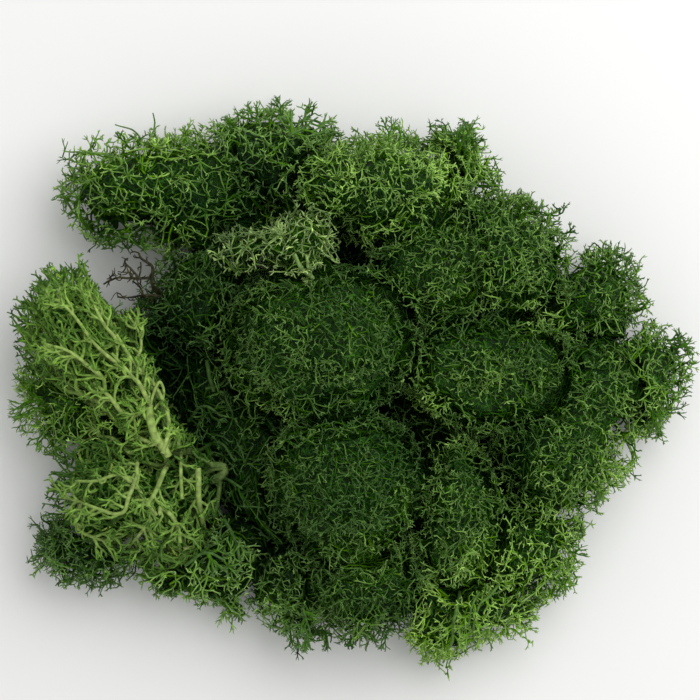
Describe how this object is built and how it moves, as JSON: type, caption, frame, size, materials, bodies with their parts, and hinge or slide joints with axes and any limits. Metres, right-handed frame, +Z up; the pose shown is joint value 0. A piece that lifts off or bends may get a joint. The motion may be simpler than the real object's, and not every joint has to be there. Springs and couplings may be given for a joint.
{
  "type": "reindeer moss clump",
  "caption": "Hand-sized clump of green preserved reindeer moss: rounded tufts pressed together on a flat underside, lying free on a table.",
  "frame": {"origin": "on the table, under the middle of the clump's bounding box", "axes": "+X along the clump's longest side, +Y towards its back, +Z up out of its flat underside"},
  "size_m": [0.1602, 0.1318, 0.0521],
  "materials": {
    "green_moss": "matte, dyed and softened lichen stems, mid green with paler tips",
    "deep_moss": "matte, dyed and softened lichen stems, dark green",
    "bright_moss": "matte, dyed and softened lichen stems, bright green with thick pale stems",
    "pale_moss": "matte, dyed and softened lichen stems, pale yellow green",
    "bare_twig": "matte, bare dark branchlet with no dye on it"
  },
  "bodies": {
    "root": {"pale_tuft": "pale_moss", "centre_tuft": "green_moss", "crown_tuft": "green_moss", "middle_tuft": "green_moss", "front_tuft": "green_moss", "back_right_tuft": "green_moss", "front_ridge_tuft": "green_moss", "inner_right_tuft": "green_moss", "left_head_tuft": "bright_moss", "right_front_tuft": "green_moss", "front_low_tuft": "green_moss", "left_fan_tuft": "bright_moss", "back_sprig_tuft": "green_moss", "right_shoulder_tuft": "green_moss", "right_end_tuft": "green_moss", "front_right_tuft": "green_moss", "back_left_tuft": "green_moss", "back_tuft": "deep_moss", "left_inner_tuft": "deep_moss", "front_right_edge_tuft": "green_moss", "front_edge_tuft": "deep_moss", "left_side_tuft": "green_moss", "left_corner_tuft": "deep_moss", "left_front_tuft": "deep_moss", "back_hollow_tuft": "deep_moss", "right_hollow_tuft": "deep_moss", "left_hollow_tuft": "deep_moss", "bare_twig": "bare_twig"}
  },
  "joints": []
}
